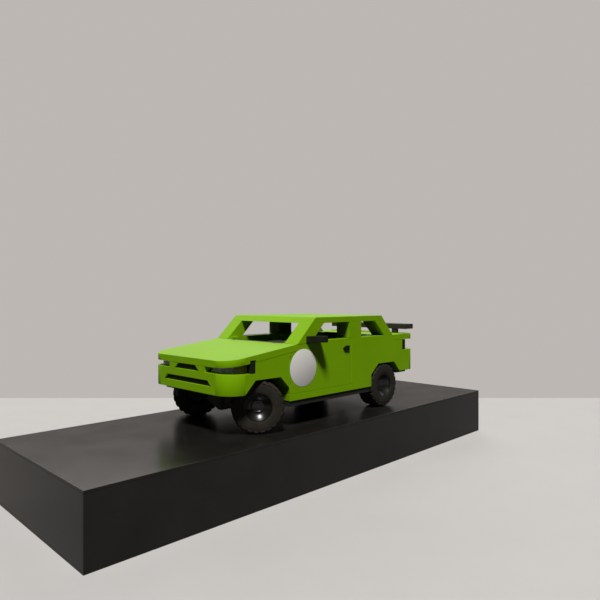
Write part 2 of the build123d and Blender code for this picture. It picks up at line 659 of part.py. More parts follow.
def floor_pan():
    """The dark floor: cabin pan, raised front and rear pans, splitter and tail plate."""
    cabin_end = REAR_ARCH[0][0]
    start = FRONT_ARCH[4][0]
    pan = block((-INNER, INNER), (start, cabin_end), FLOOR_Z)
    pan += block((-FRONT_FLOOR_X, FRONT_FLOOR_X), (SPLITTER_Y[1], start + SHEET), FRONT_FLOOR_Z)
    pan += block((-FRONT_FLOOR_X, FRONT_FLOOR_X), (start, start + SHEET), (FLOOR_Z[0], FRONT_FLOOR_Z[1]))
    pan += block((-SPLITTER_X, SPLITTER_X), SPLITTER_Y, (FRONT_FLOOR_Z[0], BUMPER_BOTTOM))
    tail_start = REAR_ARCH[4][0] + SHEET
    pan += block((-REAR_FLOOR_X, REAR_FLOOR_X), (cabin_end - SHEET, tail_start), REAR_FLOOR_Z)
    pan += block((-REAR_FLOOR_X, REAR_FLOOR_X), (cabin_end - SHEET, cabin_end), (FLOOR_Z[0], REAR_FLOOR_Z[1]))
    tail_y = (tail_start, TAIL_Y - BUMPER_THICK)
    pan += block((-REAR_PLATE_X, REAR_PLATE_X), tail_y, (REAR_FLOOR_Z[0], BUMPER_BOTTOM))
    rail_y = (start + RAIL_FRONT_GAP, cabin_end - RAIL_REAR_GAP)
    outer = HALF_WIDTH - RAIL_INSET
    rail = block((outer - RAIL_WIDTH, outer), rail_y, (RAIL_BOTTOM, SILL_BOTTOM))
    web = block((outer - RAIL_WIDTH, outer - RAIL_WIDTH + RAIL_WEB), rail_y, (RAIL_BOTTOM, FLOOR_Z[0] + 1))
    duct = block(DUCT_X, DUCT_Y, (DUCT_BOTTOM, FRONT_FLOOR_Z[0] + 1))
    for shape in (rail + web, duct):
        for piece in twin(shape):
            pan += piece
    return pan


def wheelhouse(arch, wall_x, bumper_y, floor_z):
    """The left liner of a wheel arch: a sheet over the arch and an inner wall at wall_x."""
    opening = make_face(Plane.YZ * Polyline(*arch, (arch[-1][0], 0), (arch[0][0], 0), close=True))
    grown = offset(opening, SHEET, kind=Kind.INTERSECTION)
    wall = Pos(wall_x, 0, 0) * extrude(grown, SHEET, dir=(1, 0, 0))
    wall &= block((0, HALF_WIDTH), (NOSE_Y, TAIL_Y), (floor_z, ROOF_TOP))
    sheet = Pos(wall_x, 0, 0) * extrude(grown, HALF_WIDTH - wall_x, dir=(1, 0, 0))
    sheet -= Pos(wall_x - 1, 0, 0) * extrude(opening, HALF_WIDTH, dir=(1, 0, 0))
    whole_y = (arch[0][0] - SHEET, arch[-1][0] + SHEET)
    by_cabin = sheet & block((wall_x, INNER), whole_y, (FLOOR_Z[1], ROOF_TOP))
    by_bumper = sheet & block((wall_x, HALF_WIDTH), bumper_y, (BUMPER_BOTTOM, ROOF_TOP))
    by_bumper &= shell_form(BUMPER_THICK)
    low = block((0, HALF_WIDTH), bumper_y, (0, floor_z))
    return wall + (by_cabin - low) + by_bumper


def front_wheelhouse():
    """The left front wheel's liner."""
    bumper_y = (FRONT_ARCH[0][0] - SHEET, FRONT_ARCH[1][0])
    return wheelhouse(FRONT_ARCH, FRONT_FLOOR_X, bumper_y, FRONT_FLOOR_Z[0])


def rear_wheelhouse():
    """The left rear wheel's liner."""
    bumper_y = (REAR_ARCH[3][0], REAR_ARCH[4][0] + SHEET)
    return wheelhouse(REAR_ARCH, REAR_FLOOR_X, bumper_y, REAR_FLOOR_Z[0])


def arm_plan(inner_half):
    """A suspension arm's outline from above, narrow at the kingpin."""
    x0, x1 = SUBFRAME_X - 1, KINGPIN_X
    front = [(x0, KINGPIN_Y - inner_half), (x1, KINGPIN_Y - ARM_TIP_HALF)]
    rear = [(x1, KINGPIN_Y + ARM_TIP_HALF), (x0, KINGPIN_Y + inner_half)]
    return plate_z(front + rear, 0, ROOF_TOP)


def kingpin_rod(radius, low_z, high_z):
    """A round piece on the left kingpin's line."""
    return rod(radius, (KINGPIN_X, KINGPIN_Y, low_z), (KINGPIN_X, KINGPIN_Y, high_z))


def suspension_arm(rise, inner_z, inner_half):
    """An arm from the subframe to the kingpin's eye, rise above the wheel's centre."""
    z = WHEEL_Z + rise
    half = ARM_THICK / 2
    root = SUBFRAME_X - 1
    side = [(root, inner_z - half), (KINGPIN_X, z - half), (KINGPIN_X, z + half), (root, inner_z + half)]
    arm = plate_y(side, KINGPIN_Y - SUBFRAME_HALF, KINGPIN_Y + SUBFRAME_HALF) & arm_plan(inner_half)
    arm += kingpin_rod(BOSS_RADIUS, z - half, z + half)
    return arm - kingpin_rod(KINGPIN_RADIUS + PIN_FIT, z - 2 * half, z + 2 * half)


def front_suspension():
    """The front subframe, keeled below, with two arms and a spring on each side."""
    half, knee, keel = SUBFRAME_X, SUBFRAME_KNEE_Z - ARM_THICK, SUBFRAME_KEEL_X
    top = FRONT_FLOOR_Z[0]
    right = [(-half, top), (-half, knee), (-keel, SUBFRAME_KEEL_Z)]
    left = [(-x, z) for x, z in right[::-1]]
    frame = plate_y(right + left, KINGPIN_Y - SUBFRAME_HALF, KINGPIN_Y + SUBFRAME_HALF)
    lower = suspension_arm(-ARM_RISE, LOWER_ARM_Z, LOWER_ARM_HALF)
    upper = suspension_arm(ARM_RISE, UPPER_ARM_Z, UPPER_ARM_HALF)
    foot = UPPER_ARM_Z - ARM_THICK / 2
    spring = rod(SPRING_RADIUS, (SPRING_X, KINGPIN_Y, foot), (SPRING_X, KINGPIN_Y, FRONT_ARCH[1][1]))
    for shape in (lower, upper, spring):
        for piece in twin(shape):
            frame += piece
    return frame


def wheel_shield(wheel_y):
    """The round plate behind the left wheel's hub."""
    face = WHEEL_X + HUB_INNER - SHUT_GAP
    return rod(SHIELD_RADIUS, (face - SHIELD_THICK, wheel_y, WHEEL_Z), (face, wheel_y, WHEEL_Z))


def rear_axle():
    """The live axle with its differential, a spring and a stub on each side."""
    centre = (0, REAR_WHEEL_Y, WHEEL_Z)
    axle = Pos(*centre) * Sphere(DIFFERENTIAL_RADIUS)
    hub_face = WHEEL_X + HUB_INNER
    tube = rod(AXLE_RADIUS, centre, (hub_face - SHUT_GAP, REAR_WHEEL_Y, WHEEL_Z))
    stub = rod(STUB_RADIUS, centre, (WHEEL_X + STUB_REACH, REAR_WHEEL_Y, WHEEL_Z))
    spring = rod(SPRING_RADIUS, (SPRING_X, REAR_WHEEL_Y, WHEEL_Z), (SPRING_X, REAR_WHEEL_Y, REAR_FLOOR_Z[0]))
    for shape in (tube, stub, spring, wheel_shield(REAR_WHEEL_Y)):
        for piece in twin(shape):
            axle += piece
    return axle


def steered_side(shape, side):
    """A front piece on either side, both turned the same way."""
    pin = Pos(side * KINGPIN_X, KINGPIN_Y, 0)
    return pin * Rot(0, 0, -STEER_REST) * pin.inverse() * on_side(shape, side)


def knuckle():
    """The left upright with its kingpin ends and stub axle, wheels straight."""
    reach = ARM_RISE - ARM_THICK / 2 - SHUT_GAP
    z0, z1 = WHEEL_Z - reach, WHEEL_Z + reach
    pin = ARM_RISE + ARM_THICK / 2
    post = kingpin_rod(POST_RADIUS, z0, z1) + kingpin_rod(KINGPIN_RADIUS, WHEEL_Z - pin, WHEEL_Z + pin)
    post += rod(STUB_RADIUS, (KINGPIN_X, KINGPIN_Y, WHEEL_Z), (WHEEL_X + STUB_REACH, KINGPIN_Y, WHEEL_Z))
    return post + wheel_shield(KINGPIN_Y)


def spun(points, centre):
    """A ring or disc turned about the axle from its (along, radius) outline."""
    face = make_face(Polyline(*[(along, radius, 0) for along, radius in points], close=True))
    return Pos(*centre) * revolve(face, Axis.X, 360)


def ring_face(along, lug_radius, groove_radius=None):
    """A face across the axle, its outline a flat for each lug and groove, one lug's corner straight down."""
    points = []
    for lug in range(LUGS):
        start, end = [pi + radians(lug * 360 / LUGS + turn) for turn in (-LUG_ANGLE, 0)]
        corners = [(lug_radius, start), (lug_radius, end)]
        if groove_radius is not None:
            corners = [(groove_radius, start), *corners, (groove_radius, end)]
        points += [(radius * sin(angle), radius * cos(angle)) for radius, angle in corners]
    return make_face(Plane.YZ.offset(along) * Polyline(*points, close=True))


def ring_slab(sections):
    """A solid whose flats run straight from one section to the next."""
    slab = loft([ring_face(*section) for section in sections[:2]], ruled=True)
    for pair in zip(sections[1:], sections[2:]):
        slab += loft([ring_face(*section) for section in pair], ruled=True)
    return slab


def tyre(centre):
    """The left tyre, one flat for each lug and groove, the grooves open at both shoulders."""
    half = TYRE_WIDTH / 2
    edge, start = half - SHOULDER, half - GROOVE_LENGTH
    shoulder_radius = TYRE_RADIUS - SHOULDER
    bead = RIM_HALF_WIDTH - BEAD_RELIEF
    bore = (BEAD_RADIUS + PIN_FIT) / cos(radians(LUG_ANGLE / 2))
    body = ring_slab([(-start, TYRE_RADIUS), (start, TYRE_RADIUS)])
    for side in (1, -1):
        body += ring_slab([(side * start, TYRE_RADIUS, TYRE_RADIUS - GROOVE_DEPTH),
                           (side * edge, TYRE_RADIUS, TYRE_RADIUS - GROOVE_DEPTH),
                           (side * half, shoulder_radius, shoulder_radius - GROOVE_DEPTH)])
        body -= ring_slab([(side * bead, bore), (side * half, WALL_TOP_RADIUS)])
    return Pos(*centre) * (body - ring_slab([(-bead, bore), (bead, bore)]))


def rim(centre):
    """The left rim: barrel with two flanges, a dished face and a blind hub under a six-sided cap."""
    r0, r1 = BEAD_RADIUS - RIM_WALL, BEAD_RADIUS
    half = RIM_HALF_WIDTH
    edge = half + FLANGE_WIDTH
    barrel = [(-edge, r0), (-edge, r1 + FLANGE_RISE), (-half, r1 + FLANGE_RISE), (-half, r1), (half, r1),
              (half, r1 + FLANGE_RISE), (edge, r1 + FLANGE_RISE), (edge, r0)]
    face, disc = DISH_FACE, DISH_FACE - DISC_THICK
    dish = [(half, r0 + 1), (half - 2 * RIM_WALL, r0 + 1), (disc, DISH_RADIUS), (disc, STUB_RADIUS + PIN_FIT),
            (face, STUB_RADIUS + PIN_FIT), (face, DISH_RADIUS)]
    bore = STUB_RADIUS + PIN_FIT
    end = STUB_REACH + STUB_END_GAP
    hub = [(HUB_INNER, bore), (end, bore), (end, 0), (HUB_OUTER, 0), (HUB_OUTER, HUB_RADIUS),
           (HUB_INNER, HUB_RADIUS)]
    x, y, z = centre
    turns = [radians(60 * corner) for corner in range(6)]
    corners = [(y + CAP_RADIUS * sin(turn), z + CAP_RADIUS * cos(turn)) for turn in turns]
    cap = plate_x(corners, x + face, x + HUB_OUTER) - rod(HUB_RADIUS - 1, (x + face, y, z), (x + end, y, z))
    return spun(barrel, centre) + spun(dish, centre) + spun(hub, centre) + cap


def engine():
    """The engine, one plain block on the front floor."""
    return block((-ENGINE_HALF, ENGINE_HALF), ENGINE_Y, (FRONT_FLOOR_Z[1], ENGINE_TOP))


def dashboard():
    """The dashboard across the cabin, with the driver's binnacle on it."""
    back = COWL_FACE + FIREWALL_THICK
    half = INNER - SHUT_GAP - POST_WIDTH
    panel = plate_x([(back, DASH_FOOT_Z), *DASH_FACE, (back, DASH_TOP_Z)], -half, half)
    sides = [INNER - inset for inset in INSTRUMENTS_INSET[::-1]]
    low, high = BINNACLE_BACK_Z
    return panel + plate_x([(back, low), *BINNACLE_FACE, (back, high)], *sides)


def driver_seat():
    """The seat: cushion and reclined back with chamfered shoulders."""
    foot = [(y, FLOOR_Z[1]) for y in SEAT_FOOT_Y]
    seat = plate_x(foot + SEAT_SIDE, DRIVER_X - SEAT_HALF, DRIVER_X + SEAT_HALF)
    shoulders = seat.edges().filter_by(Axis.Y).sort_by(Axis.Z)[-2:]
    return chamfer(shoulders, SEAT_SHOULDER)


def column_point(along):
    """A point on the steering column's line, measured from the steering wheel's centre."""
    tilt = radians(COLUMN_TILT)
    return (DRIVER_X, WHEEL_CENTRE_Y + along * cos(tilt), WHEEL_CENTRE_Z + along * sin(tilt))


def steering_column():
    """The column's tube from the dashboard, with a bore for the wheel's shaft."""
    tube = rod(COLUMN_RADIUS, column_point(-COLUMN_REACH), column_point(-COLUMN_END)) - dashboard()
    tube = tube.solids().sort_by(Axis.Y)[-1]
    return tube - rod(SHAFT_RADIUS + PIN_FIT, column_point(-SHAFT_LENGTH - SHAFT_END_GAP), column_point(0))


def steering_wheel():
    """The steering wheel with three spokes and its shaft."""
    tilt = radians(COLUMN_TILT)
    plane = Plane(origin=column_point(0), x_dir=(1, 0, 0), z_dir=(0, cos(tilt), sin(tilt)))
    wheel = Torus(WHEEL_RADIUS, WHEEL_GRIP) + Cylinder(WHEEL_BOSS_RADIUS, WHEEL_BOSS_THICK)
    for angle in (0, 180, 270):
        wheel += Rot(0, 0, angle) * Pos(WHEEL_RADIUS / 2, 0, 0) * Box(WHEEL_RADIUS, SPOKE_WIDTH, SPOKE_THICK)
    return plane * wheel + rod(SHAFT_RADIUS, column_point(-SHAFT_LENGTH), column_point(0))


def body_nodes():
    """Write the fixed panels and everything that they carry."""
    save("front_bumper", front_bumper())
    save("grilles", grilles())
    save("front_fenders", twin(front_fender()))
    save("sills", twin(sill()))
    save("rear_quarters", twin(rear_quarter()))
    save("rear_bumper", rear_bumper())
    save("a_pillars", twin(a_pillar()))
    save("rear_pillars", twin(b_pillar()) + twin(c_pillar()))
    save("roof", roof())
    save("cowl", cowl())
    save("rear_shelf", rear_shelf())
    save("floor_pan", floor_pan())
    save("wheelhouses", twin(front_wheelhouse()) + twin(rear_wheelhouse()))
    save("headlamp_lenses", twin(headlamp_lens()))
    save("headlamp_backs", twin(headlamp_back()))
    save("side_markers", twin(side_marker()))
    save("lamp_caps", [cap for half in lamp_caps() for cap in twin(half)])
    save("tail_lamps", twin(tail_lamp()))
    save("engine_block", engine())
    save("dashboard", dashboard())
    save("driver_seat", driver_seat())
    save("steering_column", steering_column())
    save("front_suspension", front_suspension())
    save("rear_axle", rear_axle())


def moving_nodes():
    """Write the lids, doors, steering and wheels."""
    save("hood", hood())
    save("trunk_lid", trunk_lid())
    save("rear_wing", rear_wing())
    save("steering_wheel", steering_wheel())
    front_centre = (WHEEL_X, KINGPIN_Y, WHEEL_Z)
    rear_centre = (WHEEL_X, REAR_WHEEL_Y, WHEEL_Z)
    for name, side in (("left", 1), ("right", -1)):
        for node, shape in (("door", door()), ("door_handle", door_handle()), ("door_mirror", door_mirror())):
            save(f"{node}_{name}", on_side(shape, side))
        save(f"knuckle_{name}", steered_side(knuckle(), side))
        save(f"tyre_front_{name}", steered_side(tyre(front_centre), side))
        save(f"rim_front_{name}", steered_side(rim(front_centre), side))
        save(f"tyre_rear_{name}", on_side(tyre(rear_centre), side))
        save(f"rim_rear_{name}", on_side(rim(rear_centre), side))


os.makedirs("parts", exist_ok=True)
plinth()
body_nodes()
moving_nodes()
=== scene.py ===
import json
import math

import bpy
from mathutils import Matrix, Vector

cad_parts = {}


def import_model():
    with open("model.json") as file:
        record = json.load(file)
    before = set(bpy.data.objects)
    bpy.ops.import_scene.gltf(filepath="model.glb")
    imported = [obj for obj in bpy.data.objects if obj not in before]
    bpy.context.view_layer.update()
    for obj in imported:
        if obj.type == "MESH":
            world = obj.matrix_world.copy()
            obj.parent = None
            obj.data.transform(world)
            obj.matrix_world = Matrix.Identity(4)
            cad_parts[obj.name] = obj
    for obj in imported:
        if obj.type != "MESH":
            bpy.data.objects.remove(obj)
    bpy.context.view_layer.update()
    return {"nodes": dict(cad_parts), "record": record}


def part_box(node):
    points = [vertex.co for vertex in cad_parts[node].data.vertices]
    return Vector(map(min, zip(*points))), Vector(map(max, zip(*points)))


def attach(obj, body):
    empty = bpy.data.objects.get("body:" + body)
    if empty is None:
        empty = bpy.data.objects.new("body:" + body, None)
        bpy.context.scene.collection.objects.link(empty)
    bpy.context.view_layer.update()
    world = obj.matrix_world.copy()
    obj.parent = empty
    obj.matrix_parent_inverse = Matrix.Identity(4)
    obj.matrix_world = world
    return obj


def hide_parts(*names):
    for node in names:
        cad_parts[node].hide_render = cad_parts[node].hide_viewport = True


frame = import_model()

# The camera looks level from 2.7 m up, off the car's front left corner.
CAMERA_PLACE = (6.6316, -6.4421, 2.7114)
CAMERA_TURN = (90.0, 0.0, 44.692)
FOCAL_LENGTH = 32.01
SENSOR_WIDTH = 36.0
HORIZON_SHIFT = 0.0026
CAMERA_REACH = 200.0

# A strong lamp hangs high on the camera's side and a weak one behind the car. "way" points to the lamp, and
# glossy surfaces show it if it is "mirrored".
LAMPS = {
    "key": {"way": (0.35, -0.355, 0.866), "spread": 11.0, "power": 3.38, "mirrored": True},
    "fill": {"way": (-0.60, 0.62, 0.50), "spread": 40.0, "power": 0.6, "mirrored": False},
}

# What lights the surfaces besides the lamps
ROOM_LIGHT = 0.022
ROOM_LIGHT_COLOUR = (0.97, 0.98, 1.0)

# What glossy surfaces and glass mirror: the room's level goes up towards the wall, and again with height.
AHEAD_RANGE = (0.2, 0.6)
AHEAD_LEVEL = (0.03, 1.1)
HEIGHT_RANGE = (0.30, 0.42)
HEIGHT_LEVEL = (0.24, 4.3)

# The floor ends at the wall's foot. Diffuse and glossy rays see it darker than the camera does.
WALL_DISTANCE = 15.0
FLOOR_SIZE = 90.0
WALL_COLOUR = (0.503, 0.474, 0.451)
FLOOR_COLOUR = (0.60, 0.577, 0.554)
FLOOR_DRIFT = 0.97
FLOOR_BOUNCE = (0.04, 0.04, 0.04)
FLOOR_MIRRORED = (0.25, 0.235, 0.22)

# Finishes: the noise that drifts their tones, and their fine bump
NOISE_DETAIL = 6.0
NOISE_ROUGHNESS = 0.6
TONE_BAND = (0.35, 0.65)
GRAIN_SCALE = 60.0
GRAIN_DETAIL = 4.0
GRAIN_HEIGHT = 0.002
REFRACTION = 1.5
THREAD_DRIFT_SCALE = 14.0
THREAD_DRIFT_DETAIL = 5.0
THREAD_BUMP = 0.35
THREAD_HEIGHT = 0.0008
CLOTH_ROUGHNESS = 0.9
CLOTH_SHEEN = 0.3
LENS_COLOUR = (0.86, 0.88, 0.86)
LENS_CLEARNESS = 0.92
LENS_FILM_SCALE = 9.0
LENS_ROUGHNESS = (0.04, 0.14)

# Edges
MERGE_DISTANCE = 0.00005
FLAT_ANGLE = 1.0
SHARP_ANGLE = 35.0
NODE_EDGE = 0.003
NODE_EDGE_STEPS = 2

# Wheels: each section is a list of (along the axle, out from it)
STEER_REST = -35.0
TYRE_SECTION = [(0.1425, 0.2020), (0.1500, 0.2015), (0.1555, 0.2040), (0.1590, 0.2120), (0.1618, 0.2300),
                (0.1638, 0.2520), (0.1648, 0.2720), (0.1650, 0.2920), (0.1642, 0.3080), (0.1620, 0.3220),
                (0.1595, 0.3370), (0.1555, 0.3500), (0.1450, 0.3610), (0.1280, 0.3665), (0.0700, 0.3672),
                (0.0, 0.3675)]
RIM_SECTION = [(0.0570, 0.0), (0.0570, 0.0303), (0.0200, 0.0303), (0.0200, 0.0600), (0.0320, 0.0640),
               (0.0320, 0.1020), (0.0400, 0.1090), (0.1190, 0.1880), (-0.1520, 0.1900), (-0.1535, 0.1950),
               (-0.1520, 0.1995), (-0.1460, 0.2000), (0.1460, 0.2000),
               (0.1530, 0.1985), (0.1520, 0.1940), (0.1430, 0.1905), (0.1300, 0.1880), (0.1150, 0.1740),
               (0.1010, 0.1590), (0.0880, 0.1430), (0.0770, 0.1280), (0.0680, 0.1130), (0.0610, 0.0980),
               (0.0500, 0.0620), (0.0700, 0.0560), (0.0700, 0.0)]
LUG_SECTION = [(0.0800, 0.3600), (0.0820, 0.3780), (0.1400, 0.3780), (0.1650, 0.3530), (0.1650, 0.3380),
               (0.1450, 0.3380)]
BLOCK_SECTION = [(0.0060, 0.3600), (0.0080, 0.3780), (0.0680, 0.3780), (0.0700, 0.3600)]
LUGS = 23
LUG_TURN = 10.0
BLOCK_TURN = 11.5
LUG_STEPS = 3
LUG_EDGE = 0.003
LATHE_STEPS = 92
WHEEL_SMOOTH_ANGLE = 30.0
HUB_CAP_SIDES = 6
HUB_CAP_RADIUS = 0.097
HUB_CAP_X = (0.048, 0.075)
HUB_CAP_FACING = 0.9
HUB_CAP_BORDER = 0.018
HUB_CAP_SLOPE = 0.003
HUB_CAP_SINK = 0.004
HUB_CAP_EDGE = 0.0015

# Door discs, placed by (y, z)
DISC_PLACE = (-0.665, 1.710)
DISC_SIDES = 96
DISC_RADIUS = 0.284
DISC_THICK = 0.0025
DISC_EDGE = 0.0008

# Seat: its width and outer ends are the frame's own seat's, and points are (y, z)
SHELL_REAR_Y = 0.43
SHELL_FOOT_THICK = 0.07
SHELL_TOP_THICK = 0.05
SHELL_BEND = (0.002, -0.1)
SHELL_EDGE = 0.012
CUSHION_SIDE_GAP = 0.012
CUSHION_FRONT_GAP = 0.01
CUSHION_REAR_Y = 0.375
CUSHION_LOW_Z = 1.395
CUSHION_TOP_Z = 1.492
BACK_FOOT = (0.345, 1.470)
BACK_TOP = (0.515, 2.168)
BACK_THICK = 0.085
CUSHION_EDGE = 0.02
CUSHION_SWELL = 0.012
CUSHION_FILL = 0.8
CUSHION_SMOOTH_ANGLE = 60.0
CUSHION_GRID = 0.006
STUFFING_PRESSURE = 4.0
STUFFING_QUALITY = 4
STUFFING_FRAMES = 20

# Sewn channels, the first one measured from the seat's front or from the back cushion's foot
SEAT_CHANNELS = 5
SEAT_CHANNEL_START = 0.09
SEAT_CHANNEL_SPACING = 0.075
BACK_CHANNELS = 7
BACK_CHANNEL_START = 0.10
BACK_CHANNEL_SPACING = 0.085
CHANNEL_WIDTH = 0.014
CHANNEL_DEPTH = 0.009
CHANNEL_FACING = 0.3

# Nodes whose edges are rounded a little
SOFTENED = (
    "front_bumper", "front_fenders", "hood", "sills", "rear_quarters", "rear_bumper", "a_pillars",
    "rear_pillars", "roof", "trunk_lid", "rear_shelf", "door_left", "door_right", "door_handle_left",
    "door_handle_right", "door_mirror_left", "door_mirror_right", "rear_wing", "lamp_caps", "grilles",
    "dashboard", "floor_pan", "plinth_deck", "plinth_sides", "plinth_ends",
)


def clear():
    """Nothing stays selected."""
    bpy.ops.object.select_all(action="DESELECT")


def pick(pieces):
    """Select these pieces alone, the first one active."""
    clear()
    for piece in pieces:
        piece.select_set(True)
    bpy.context.view_layer.objects.active = pieces[0]


def edit(piece, action):
    """Take a piece into edit mode with all of it selected, or with nothing."""
    pick([piece])
    bpy.ops.object.mode_set(mode="EDIT")
    bpy.ops.mesh.select_all(action=action)


def leave():
    """Go back to object mode."""
    bpy.ops.object.mode_set(mode="OBJECT")


def settle(piece):
    """Leave the piece's object at the origin, with its place in its mesh."""
    pick([piece])
    bpy.ops.object.transform_apply(location=True, rotation=True, scale=True)


def drawn_outline(name, points):
    """A flat face, drawn out point by point from a square merged to its first corner."""
    clear()
    bpy.ops.mesh.primitive_plane_add(size=0.01, location=points[0])
    piece = bpy.context.object
    piece.name = name
    settle(piece)
    edit(piece, "SELECT")
    bpy.ops.mesh.merge(type="CENTER")
    for start, end in zip(points, points[1:]):
        step = Vector(end) - Vector(start)
        bpy.ops.mesh.extrude_region_move(TRANSFORM_OT_translate={"value": step})
    bpy.ops.mesh.select_all(action="SELECT")
    bpy.ops.mesh.edge_face_add()
    leave()
    return piece


def turned(name, section, turn=360.0, steps=LATHE_STEPS):
    """A section of (along, out) turned about the X axis, closed all round or with two end faces."""
    piece = drawn_outline(name, [(along, 0.0, -out) for along, out in section])
    whole = turn == 360.0
    edit(piece, "SELECT")
    if whole:
        bpy.ops.mesh.delete(type="ONLY_FACE")
        bpy.ops.mesh.select_all(action="SELECT")
    bpy.ops.mesh.spin(steps=steps, angle=math.radians(turn), center=(0, 0, 0), axis=(1, 0, 0))
    bpy.ops.mesh.select_all(action="SELECT")
    bpy.ops.mesh.remove_doubles(threshold=MERGE_DISTANCE)
    bpy.ops.mesh.select_all(action="SELECT")
    bpy.ops.mesh.delete_loose()
    bpy.ops.mesh.select_all(action="SELECT")
    bpy.ops.mesh.normals_make_consistent(inside=False)
    leave()
    return piece


def copied(piece, name, move):
    """A copy with its own mesh, moved by a matrix."""
    mesh = piece.data.copy()
    mesh.transform(move)
    made = bpy.data.objects.new(name, mesh)
    bpy.context.collection.objects.link(made)
    return made


def joined(pieces, name):
    """One piece of several."""
    pick(pieces)
    bpy.ops.object.join()
    pieces[0].name = name
    return pieces[0]


def bevelled(piece, width, segments):
    """Round a piece's sharp edges for good."""
    pick([piece])
    edge = piece.modifiers.new("edge", "BEVEL")
    edge.width = width
    edge.segments = segments
    edge.limit_method = "ANGLE"
    edge.angle_limit = math.radians(SHARP_ANGLE)
    bpy.ops.object.modifier_apply(modifier="edge")


def smooth(piece, angle=SHARP_ANGLE):
    """Shade a piece smooth, apart from its sharper edges."""
    pick([piece])
    bpy.ops.object.shade_smooth_by_angle(angle=math.radians(angle))


def finish_piece(piece, finish, body):
    """Give a new piece its material and the body that it moves with."""
    piece.data.materials.append(finish)
    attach(piece, body)


def material(name):
    """A new node material and its shader."""
    made = bpy.data.materials.new(name)
    made.use_nodes = True
    return made, made.node_tree.nodes["Principled BSDF"]


def node(made, kind, **values):
    """A new node in a material, with its properties and its unlinked inputs set by name."""
    new = made.node_tree.nodes.new(kind)
    for key, value in values.items():
        if hasattr(new, key) and key not in new.inputs:
            setattr(new, key, value)
        else:
            new.inputs[key].default_value = value
    return new


def link(made, source, output, target, entry):
    """Link one node's output to another's input, each by its name or number."""
    made.node_tree.links.new(source.outputs[output], target.inputs[entry])


def ranged(made, source, output, to, came=(0.0, 1.0)):
    """A node that maps an output from one range to another."""
    new = node(made, "ShaderNodeMapRange")
    for key, value in zip(("From Min", "From Max", "To Min", "To Max"), (*came, *to)):
        new.inputs[key].default_value = value
    link(made, source, output, new, "Value")
    return new


def mixed(made, factor, first, second):
    """A colour mixed by a factor's socket from two colours, each a socket or a tuple."""
    new = node(made, "ShaderNodeMix", data_type="RGBA")
    for number, given in ((0, factor), (6, first), (7, second)):
        if isinstance(given, tuple):
            new.inputs[number].default_value = (*given, 1)
        else:
            made.node_tree.links.new(given, new.inputs[number])
    return new.outputs[2]


def chosen(made, ray, socket, first, second):
    """A shader that is the first one, or the second for one kind of ray."""
    new = node(made, "ShaderNodeMixShader")
    link(made, ray, socket, new, 0)
    link(made, first, 0, new, 1)
    link(made, second, 0, new, 2)
    return new


def speckled(name, low, high, scale, roughness, metallic=0.0, bump=0.0, shine=0.5):
    """A finish whose colour drifts between two tones, with a roughness that drifts too and a fine bump."""
    made, shader = material(name)
    place = node(made, "ShaderNodeTexCoord")
    noise = node(made, "ShaderNodeTexNoise", Scale=scale, Detail=NOISE_DETAIL,
                 Roughness=NOISE_ROUGHNESS)
    link(made, place, "Object", noise, "Vector")
    tone = node(made, "ShaderNodeValToRGB")
    for stop, position, colour in zip(tone.color_ramp.elements, TONE_BAND, (low, high)):
        stop.position = position
        stop.color = (*colour, 1)
    link(made, noise, "Fac", tone, "Fac")
    link(made, tone, "Color", shader, "Base Color")
    link(made, ranged(made, noise, "Fac", roughness), "Result", shader, "Roughness")
    shader.inputs["Metallic"].default_value = metallic
    shader.inputs["Specular IOR Level"].default_value = shine
    shader.inputs["IOR"].default_value = REFRACTION
    if bump:
        grain = node(made, "ShaderNodeTexNoise", Scale=GRAIN_SCALE, Detail=GRAIN_DETAIL)
        link(made, place, "Object", grain, "Vector")
        lift = node(made, "ShaderNodeBump", Strength=bump, Distance=GRAIN_HEIGHT)
        link(made, grain, "Fac", lift, "Height")
        link(made, lift, "Normal", shader, "Normal")
    return made


def shaded_inwards(name, source, shade_colour, reach):
    """A copy of a finish painted darker inwards, as painted shade. The shade colour is full inside the first
    of the two distances off the car's middle plane in reach, and is gone outside the second."""
    made = source.copy()
    made.name = name
    shader = made.node_tree.nodes["Principled BSDF"]
    tone = shader.inputs["Base Color"].links[0].from_socket
    place = node(made, "ShaderNodeTexCoord")
    split = node(made, "ShaderNodeSeparateXYZ")
    link(made, place, "Object", split, "Vector")
    side = node(made, "ShaderNodeMath", operation="ABSOLUTE")
    link(made, split, "X", side, 0)
    depth = ranged(made, side, "Value", (0.0, 1.0), reach)
    colour = mixed(made, depth.outputs["Result"], shade_colour, tone)
    made.node_tree.links.new(colour, shader.inputs["Base Color"])
    return made


def woven(name, low, high, pitch):
    """Cloth of crossing threads, on Object coordinates."""
    made, shader = material(name)
    place = node(made, "ShaderNodeTexCoord")
    heights = []
    for direction in ("X", "Y", "Z"):
        wave = node(made, "ShaderNodeTexWave", wave_type="BANDS", bands_direction=direction, Scale=pitch)
        link(made, place, "Object", wave, "Vector")
        heights.append(wave)
    cross = node(made, "ShaderNodeMath", operation="MULTIPLY")
    link(made, heights[0], "Fac", cross, 0)
    link(made, heights[2], "Fac", cross, 1)
    both = node(made, "ShaderNodeMath", operation="MAXIMUM")
    link(made, cross, "Value", both, 0)
    link(made, heights[1], "Fac", both, 1)
    drift = node(made, "ShaderNodeTexNoise", Scale=THREAD_DRIFT_SCALE, Detail=THREAD_DRIFT_DETAIL)
    link(made, place, "Object", drift, "Vector")
    colour = mixed(made, drift.outputs["Fac"], low, high)
    made.node_tree.links.new(colour, shader.inputs["Base Color"])
    lift = node(made, "ShaderNodeBump", Strength=THREAD_BUMP, Distance=THREAD_HEIGHT)
    link(made, both, "Value", lift, "Height")
    link(made, lift, "Normal", shader, "Normal")
    shader.inputs["Roughness"].default_value = CLOTH_ROUGHNESS
    shader.inputs["Sheen Weight"].default_value = CLOTH_SHEEN
    return made


